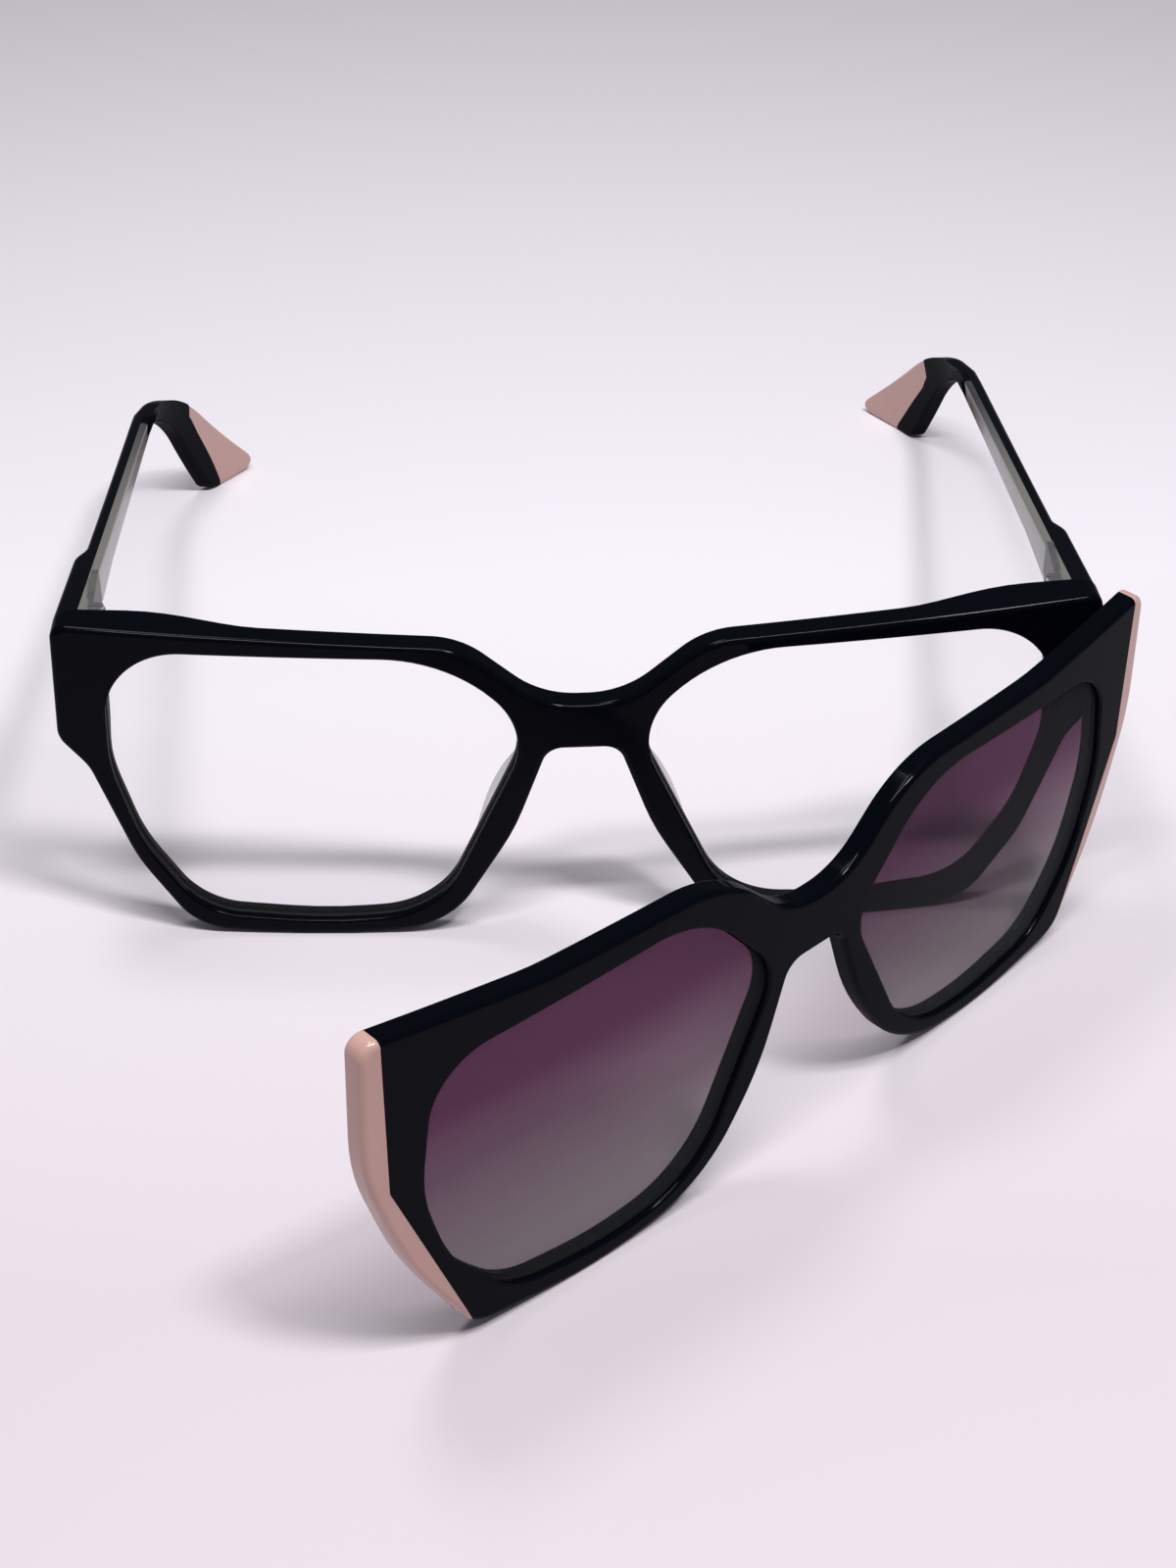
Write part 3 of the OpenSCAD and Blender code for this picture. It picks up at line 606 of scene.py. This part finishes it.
def edge_line(start, taper, bend, end, bend_radius):
    """A temple's upper or lower edge from the hinge to the tip, as (back, up) points."""
    start, taper, bend, end = Vector(start), Vector(taper), Vector(bend), Vector(end)
    a, b = (bend - taper).normalized(), (end - bend).normalized()
    turn = math.atan2(a.x * b.y - a.y * b.x, a.dot(b))
    cut = bend_radius * math.tan(abs(turn) / 2)
    bend_start, bend_end = bend - a * cut, bend + b * cut
    middle = bend_start + math.copysign(1, turn) * bend_radius * Vector((-a.y, a.x))
    return ([start.lerp(taper, stop / taper_end) for stop in taper_stops]
            + [taper.lerp(bend_start, stop) for stop in slim_stops]
            + [middle + turned(bend_start - middle, turn * k / bend_steps)
               for k in range(bend_steps + 1)]
            + [bend_end.lerp(end, stop) for stop in tip_stops])


def top_at(back):
    return temple_top - top_drop * back


upper_line, lower_line = {}, {}
for hand in ("left", "right"):
    above, below = bend_above[hand], bend_below[hand]
    upper_line[hand] = edge_line((0, temple_top), (taper_end, top_at(taper_end)),
                                 (above, top_at(above)), (toe[hand], toe_height), radius_above)
    lower_line[hand] = edge_line((0, temple_low),
                                 (taper_end, top_at(taper_end) - height_at_taper),
                                 (below, top_at(below) - height_at_bend),
                                 (heel[hand], 0), radius_below)
stations = range(len(upper_line["left"]))
lining_last = len(taper_stops) + len(slim_stops) - 2
tip_first = len(taper_stops) + len(slim_stops) + bend_steps + 1


def temple_point(k, hand, height, depth):
    """A point a height above the lower edge and a depth in from the outer face."""
    up = (upper_line[hand][k] - lower_line[hand][k]).normalized()
    p = lower_line[hand][k] + up * height
    start, mirror = curl_from[hand], -1 if hand == "left" else 1
    curl = 0 if p.x < start else tip_curl[hand] * ((p.x - start) / (toe[hand] - start)) ** 2
    aside = temple_x + p.x * math.tan(splay[hand]) - depth - curl
    return placed(mirror * aside, joint_y + p.x, p.y)


def section_heights(k, hand):
    """Heights of the lower and the upper edge at a station, drawn in at the rounded end."""
    height = (upper_line[hand][k] - lower_line[hand][k]).length
    if k < tip_first:
        return height, 0, height
    left_over = ((upper_line[hand][-1] - upper_line[hand][tip_first - 1]).length
                 * (1 - tip_stops[k - tip_first]))
    low, high = [0 if left_over > r else r - math.sqrt(r ** 2 - (r - left_over) ** 2)
                 for r in (heel_rounding, toe_rounding)]
    return height, low, height - high


def quarter(r, start):
    """A quarter of a circle from its middle, as (depth, height) pairs."""
    angles = [start + math.pi / 2 * k / corner_steps for k in range(corner_steps + 1)]
    return [(r * math.cos(a), r * math.sin(a)) for a in angles]


def outer_ring(k, hand):
    """A slice across the black outer layer."""
    height, low, high = section_heights(k, hand)
    step = step_in * smooth((lower_line[hand][k].x - step_from) / step_over)
    outside, inside = step + low * thinned_outside, outer_layer - low * thinned_inside
    r = min(outer_rounding, (inside - outside) * widest_rounding)
    flat = [(inside, low),
            *((outside + r - d, low + r + h) for d, h in quarter(r, -math.pi / 2)),
            *((outside + r - d, high - r + h) for d, h in quarter(r, 0)),
            (inside, high)]
    return [temple_point(k, hand, h, d) for d, h in flat]


def inner_ring(k, hand, low_share=0, high_share=1, round_low=True, round_high=True):
    """A slice across a piece of the inner layer, between two shares of the height."""
    height, low, high = section_heights(k, hand)
    outside = outer_layer + glue_line
    inside = outside + inner_layer - low * lining_thinned
    r = min(inner_rounding, (inside - outside) * widest_rounding)
    a, b = max(height * low_share, low), min(height * high_share, high)
    foot, top = [(inside, a)], [(inside, b)]
    if round_low:
        foot = [(inside - r + d, a + r + h) for d, h in quarter(r, -math.pi / 2)]
    if round_high:
        top = [(inside - r + d, b - r + h) for d, h in quarter(r, 0)]
    return [temple_point(k, hand, h, d) for d, h in foot + top + [(outside, b), (outside, a)]]


grey = Finish("grey see-through acetate")
cloud = grey.noise(45, 2, 0.5, stretch=(1, 0.35, 1))
darkening = grey.reading("Y").between(front_middle.y + 0.055, front_middle.y + 0.112) ** 1.4
pale_grey = grey.mix(cloud, (0.13, 0.13, 0.117), (0.18, 0.18, 0.163))
grey.set(Base_Color=grey.mix(darkening, pale_grey, (0.012, 0.013, 0.017)),
         Roughness=0.16 + grey.noise(120, 2) * 0.08, IOR=1.35)
for hand in ("left", "right"):
    lofted("temple_" + hand + "_dark", black, hand + "_temple", "temple_" + hand,
           "black_acetate", [outer_ring(k, hand) for k in stations])
    lofted("temple_" + hand + "_grey", grey, hand + "_temple", "temple_lining_" + hand,
           "grey_acetate", [inner_ring(k, hand) for k in range(lining_last + 1)])


# Tips
# Inside each tip the grey lining gives way to black acetate, with a slanting wedge of
# pale pink above it that shows when the frame is open. Both are bonded to the outer layer.
seam_places = {"left": [(-0.25, 0.95), (-0.15, 0.68), (0.13, 0.53), (0.56, 0.37), (1, 0.19)],
               "right": [(-0.3, 0.95), (-0.22, 0.69), (-0.15, 0.5), (0.03, 0.4), (0.36, 0.375),
                         (1, 0.29)]}
pink = Finish("pale pink acetate")
pink.set(Base_Color=pink.mix(pink.noise(55, 4, 0.6), (0.47, 0.275, 0.24), (0.54, 0.33, 0.29)),
         Roughness=0.14 + pink.noise(90, 2) * 0.1, Subsurface_Weight=0.05)


def black_share(k, hand):
    """How much of the height at a station is black, below the seam to the pink."""
    way = (k - tip_first + 1) / bend_steps if k < tip_first else tip_stops[k - tip_first]
    places = seam_places[hand]
    if way < places[0][0]:
        return 1
    for (a, low), (b, high) in zip(places, places[1:]):
        if way <= b:
            return low + (high - low) * (way - a) / (b - a)


for hand in ("left", "right"):
    behind_lining = stations[lining_last:]
    lofted("tip_" + hand + "_black", black, hand + "_temple", "tip_facing_" + hand, "black_acetate",
           [inner_ring(k, hand, high_share=black_share(k, hand), round_high=False)
            for k in behind_lining])
    lofted("tip_" + hand + "_pink", pink, hand + "_temple", "tip_inlay_" + hand, "pink_acetate",
           [inner_ring(k, hand, low_share=black_share(k, hand), round_low=False)
            for k in behind_lining if black_share(k, hand) < 1])


# Clip
# A second, thinner front cut to cover the first one. Its outer corners are pale pink
# acetate, laminated to the black before both were milled in one go.
clip_thickness, seat_gap = 3.2, 0.4
clip_sheet = Sheet(
    ((4.6, 30.5, 3), (9.2, 16.2, 40), (19, 1.9, 20), (37, -0.35, 50), (55.6, 1.6, 5),
     (64.2, 16.6, 60), (69.2, 33, 30), (68.6, 52.6, 2.2), (44, 49.8, 40),
     (16.4, 49.7, 18), (5.2, 39, 12)),
    ((20, 4.3, 16), (35, 2.5, 45), (49.5, 4.2, 12), (58.2, 13.6, 25), (61.8, 27, 22),
     (59.5, 44.6, 9), (20.3, 46.4, 16), (7.1, 31.2, 8)),
    bend=frame_sheet.bend + seat_gap + clip_thickness, thickness=clip_thickness, lens_depth=0.9)
clip_joint = next(joint for joint in frame["joints"] if joint["name"] == "clip_place")
clip_turn = Matrix.Rotation(math.radians(-clip_joint["range_deg"][0]), 3, "Z")
clip_pivot = Vector((*clip_joint["pos_m"][:2], 0))
seam_x, seam_turn_z, seam_foot = 66.2, 30, Vector((54.3, -1))
seam_way = (Vector((seam_x, seam_turn_z)) - seam_foot).normalized()
level_cut_from, upper_cut_from, lower_cut_from = 55, 58, 50


def on_clip(v, direction=False):
    """Where a point of the clip lies, or a direction points, as the clip stands."""
    if direction:
        return clip_turn @ v
    worn = placed(v.x, v.y - clip_thickness - seat_gap, v.z)
    return clip_pivot + clip_turn @ (worn - clip_pivot)


points, faces, facing = sheet_skin(clip_sheet, lambda v, direction=False: v)
skin = bmesh.new()
looks = skin.verts.layers.float_vector.new("looks")
corners = [skin.verts.new(p) for p in points]
for vert, direction in zip(corners, facing):
    vert[looks] = direction
for face in faces:
    skin.faces.new([corners[i] for i in face])


def cut(where, normal, beside_seam):
    """Cuts the skin along a plane, but only in the faces beside a seam."""
    chosen = [face for face in skin.faces if beside_seam(face.calc_center_median())]
    edges = {edge for face in chosen for edge in face.edges}
    verts = {vert for face in chosen for vert in face.verts}
    bmesh.ops.bisect_plane(skin, geom=[*chosen, *edges, *verts], plane_co=where,
                           plane_no=normal, dist=1e-5)


for mirror in (-1, 1):
    cut((0, 0, seam_turn_z), (0, 0, 1), lambda c: c.x * mirror > level_cut_from)
    cut((mirror * seam_x, 0, 0), (1, 0, 0),
        lambda c: c.x * mirror > upper_cut_from and c.z > seam_turn_z)
    cut((mirror * seam_x, 0, seam_turn_z), (mirror * seam_way.y, 0, -seam_way.x),
        lambda c: c.x * mirror > lower_cut_from and c.z < seam_turn_z)


def colour_at(c):
    """Whether a point lies in the left or the right pink corner or in the black."""
    below_turn = min(0, c.z - seam_turn_z)
    if abs(c.x) < seam_x + below_turn * seam_way.x / seam_way.y:
        return "black"
    return "left" if c.x < 0 else "right"


for colour, name, finish, node, slot in (
        ("black", "clip_black_front", black, "clip_frame", "black_acetate"),
        ("left", "clip_pink_left", pink, "clip_corner_left", "pink_acetate"),
        ("right", "clip_pink_right", pink, "clip_corner_right", "pink_acetate")):
    points, faces, facing, numbers = [], [], [], {}
    for face in skin.faces:
        if colour_at(face.calc_center_median()) != colour:
            continue
        for vert in face.verts:
            if vert not in numbers:
                numbers[vert] = len(points)
                points.append(on_clip(vert.co))
                facing.append(on_clip(vert[looks].normalized(), True))
        faces.append(tuple(numbers[vert] for vert in face.verts))
    shaped(name, finish, "clip", node, slot, points, faces, facing)
skin.free()


# Clip lenses
# Polarised sun lenses dyed from deep plum at the top to smoke grey at the bottom,
# through which the rim behind shows as a darker band.
tint = Finish("graduated sun lens")
fade = tint.reading("Z").between(0.009, 0.036)
# The lens's lit surface is a pale grey, a little lighter low down: a painted reflection, standing
# in for the bright room mirrored in the lens.
tint.set(Base_Color=tint.mix(fade, (0.40, 0.44, 0.45), (0.30, 0.34, 0.36)), Roughness=0.06,
         IOR=1.3)
smoke = tint.node("ShaderNodeBsdfTransparent", None, 0, {"Color": (0.63, 0.605, 0.61)})
plum = tint.node("ShaderNodeBsdfTransparent", None, 0, {"Color": (0.305, 0.185, 0.268)})
# A small share of that lit grey surface lies over the clear dye, more where the lens is seen
# aslant: partly the lens's real gloss and partly a painted reflection that veils the rim behind.
tint.show(tint.layered(0.018 + tint.aslant() ** 3 * 0.15, tint.layered(fade, smoke, plum),
                       tint.body))
for hand, mirror in (("left", -1), ("right", 1)):
    shaped("sun_lens_" + hand, tint, "clip", "clip_lens_" + hand, "tinted_lens",
           *lens_skin(clip_sheet, mirror, on_clip))
